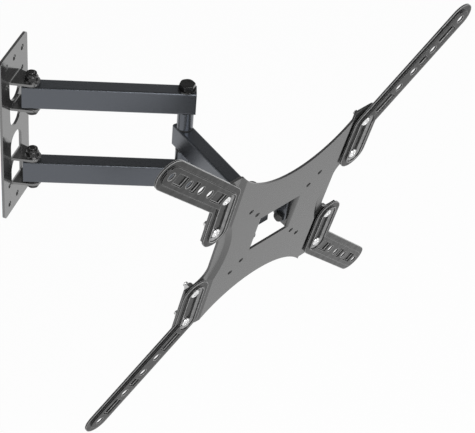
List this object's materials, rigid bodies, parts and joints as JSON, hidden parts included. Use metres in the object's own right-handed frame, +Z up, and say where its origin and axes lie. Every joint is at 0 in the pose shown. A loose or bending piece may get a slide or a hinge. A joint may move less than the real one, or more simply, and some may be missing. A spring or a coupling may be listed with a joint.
{
  "type": "tv wall mount",
  "caption": "Full-motion wall mount for a flat screen: wall plate, paired arm tubes, forearm, swivel and tilt bracket, and an X-shaped head plate with extension arms.",
  "frame": {"origin": "centre of the wall plate's back face", "axes": "+Y into the wall, +Z up, +X to the right of someone facing the wall"},
  "size_m": [0.426, 0.4566, 0.4247],
  "materials": {
    "black_powder_coat": "satin black powder coat",
    "black_hardware": "black finished steel",
    "bright_screw": "bright plated",
    "black_nylon": "matt black nylon"
  },
  "bodies": {
    "wall": {"wall_plate": "black_powder_coat", "pivot_bolts": "black_hardware", "pivot_nuts": "black_hardware", "pivot_nut_inserts": "black_nylon"},
    "arm": {"arm_tube_upper": "black_powder_coat", "arm_tube_lower": "black_powder_coat", "wall_pivot_bushes": "black_nylon", "arm_end_plugs": "black_nylon", "arm_crush_sleeves": "bright_screw", "elbow_spacers": "black_powder_coat", "elbow_washers": "black_hardware", "elbow_bolt": "black_hardware", "elbow_nut": "black_hardware", "elbow_nut_insert": "black_nylon"},
    "forearm": {"forearm_tube": "black_powder_coat", "forearm_bushes": "black_nylon", "forearm_end_plugs": "black_nylon"},
    "bracket": {"head_bracket": "black_powder_coat", "swivel_bolt": "black_hardware", "swivel_nut": "black_hardware", "swivel_nut_insert": "black_nylon", "swivel_washers": "black_hardware", "tilt_bolts": "black_hardware", "tilt_nuts": "black_hardware", "tilt_friction_washers": "black_nylon", "tilt_washers": "black_hardware"},
    "head": {"vesa_plate": "black_powder_coat", "extension_arm_top_right": "black_powder_coat", "extension_arm_top_left": "black_powder_coat", "extension_arm_bottom_right": "black_powder_coat", "extension_arm_bottom_left": "black_powder_coat", "extension_screws": "bright_screw", "extension_nuts": "bright_screw", "extension_washers": "bright_screw"}
  },
  "joints": [
    {"name": "wall_swing", "type": "hinge", "parent": "wall", "child": "arm", "pos_m": [0, -0.0225, 0], "axis": [0, 0, 1], "range_deg": [-105, 70]},
    {"name": "elbow", "type": "hinge", "parent": "arm", "child": "forearm", "pos_m": [0.05476, -0.17974, 0], "axis": [0, 0, 1], "range_deg": [-45, 150]},
    {"name": "head_swivel", "type": "hinge", "parent": "forearm", "child": "bracket", "pos_m": [-0.02841, -0.28134, 0], "axis": [0, 0, 1], "range_deg": [-85, 65]},
    {"name": "head_tilt", "type": "hinge", "parent": "bracket", "child": "head", "pos_m": [-0.0407, -0.30437, 0.0149], "axis": [0.8821, -0.471, 0], "range_deg": [-17.65, 2.35]}
  ]
}
